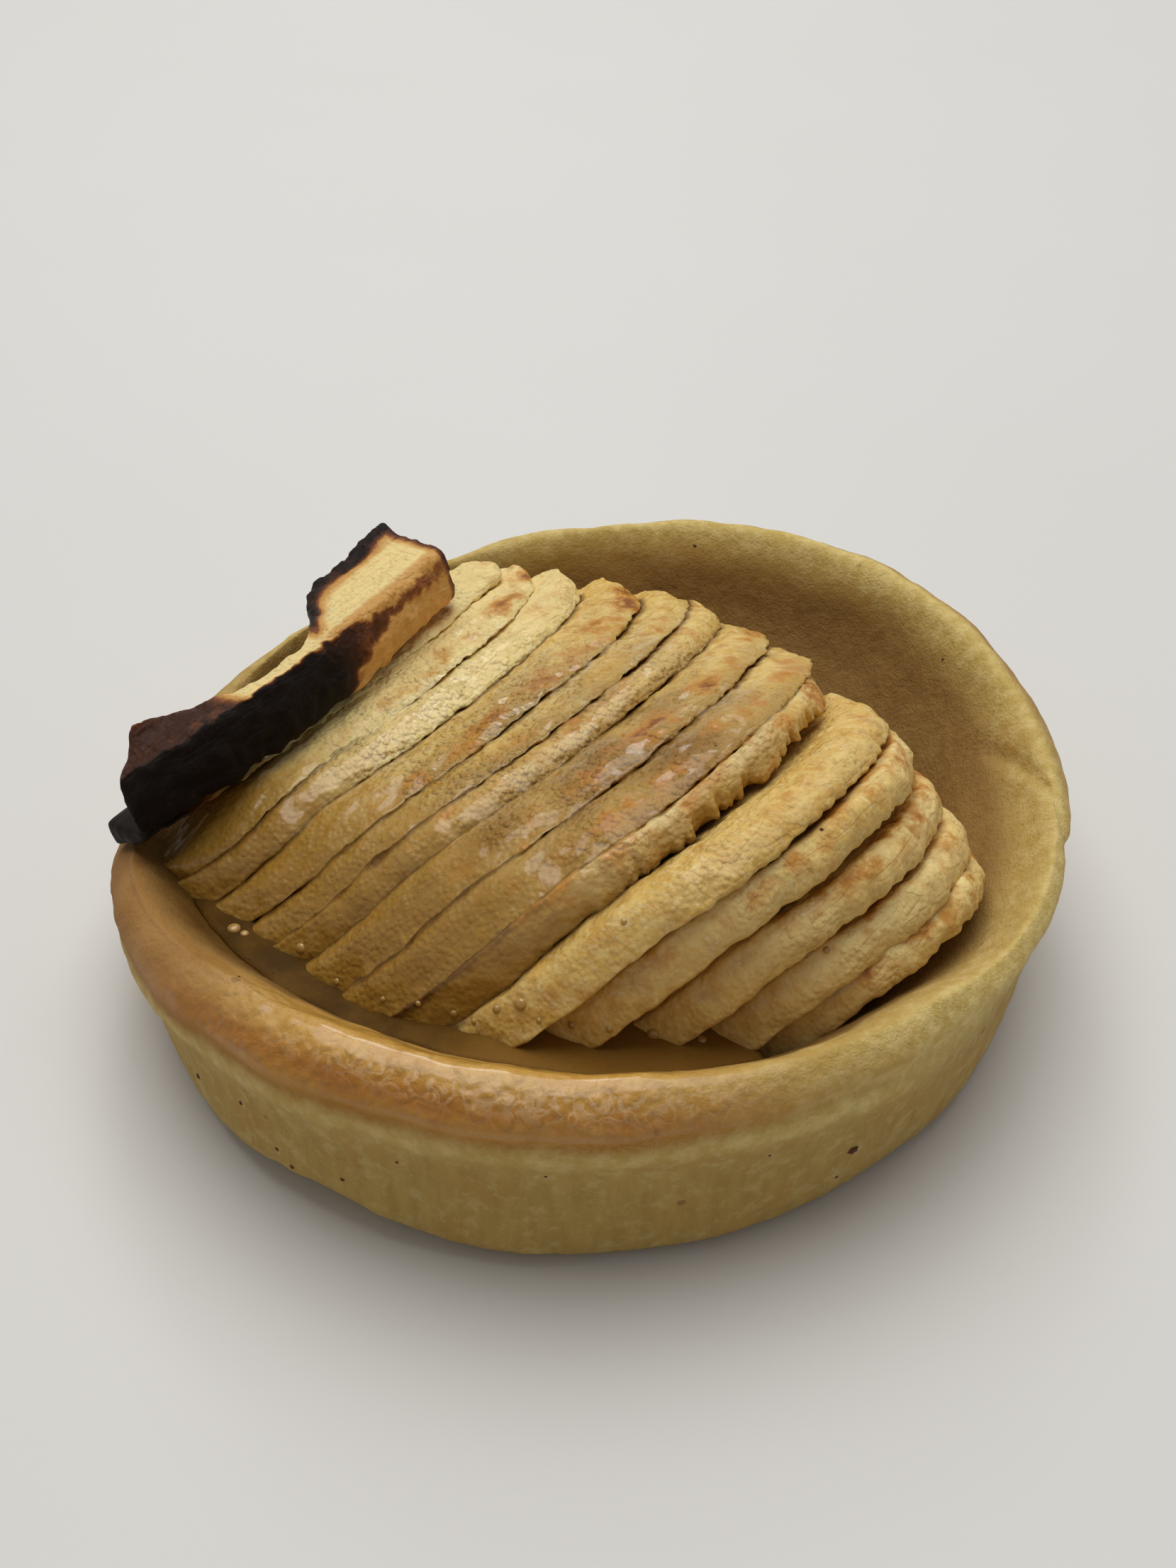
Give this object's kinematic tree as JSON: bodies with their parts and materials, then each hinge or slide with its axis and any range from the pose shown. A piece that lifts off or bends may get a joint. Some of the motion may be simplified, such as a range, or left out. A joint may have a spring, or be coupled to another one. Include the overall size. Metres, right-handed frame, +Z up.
{
  "type": "apple tartlet",
  "caption": "Round hand-formed shortcrust tartlet filled with half an apple cut into thin, glazed slices that lean on each other in a fan, the first slice burnt black at its edge",
  "frame": {"origin": "middle of the footprint of the whole tartlet, on the surface it stands on", "axes": "+Z up; -Y is the side seen in the picture; +X to the right in the picture"},
  "size_m": [0.0972, 0.098, 0.0337],
  "materials": {
    "pastry": "baked shortcrust, matte, glazed on the front rim",
    "apple": "baked apple flesh with a shiny glaze",
    "burnt_apple": "apple flesh burnt black to brown, shiny"
  },
  "bodies": {
    "root": {"pastry_case": "pastry", "apple_slice_a1": "burnt_apple", "apple_slice_a2": "apple", "apple_slice_a3": "apple", "apple_slice_a4": "apple", "apple_slice_b1": "apple", "apple_slice_b2": "apple", "apple_slice_b3": "apple", "apple_slice_c1": "apple", "apple_slice_c2": "apple", "apple_slice_c3": "apple", "apple_slice_d1": "apple", "apple_slice_d2": "apple", "apple_slice_d3": "apple", "apple_slice_d4": "apple", "apple_slice_d5": "apple"}
  },
  "joints": []
}
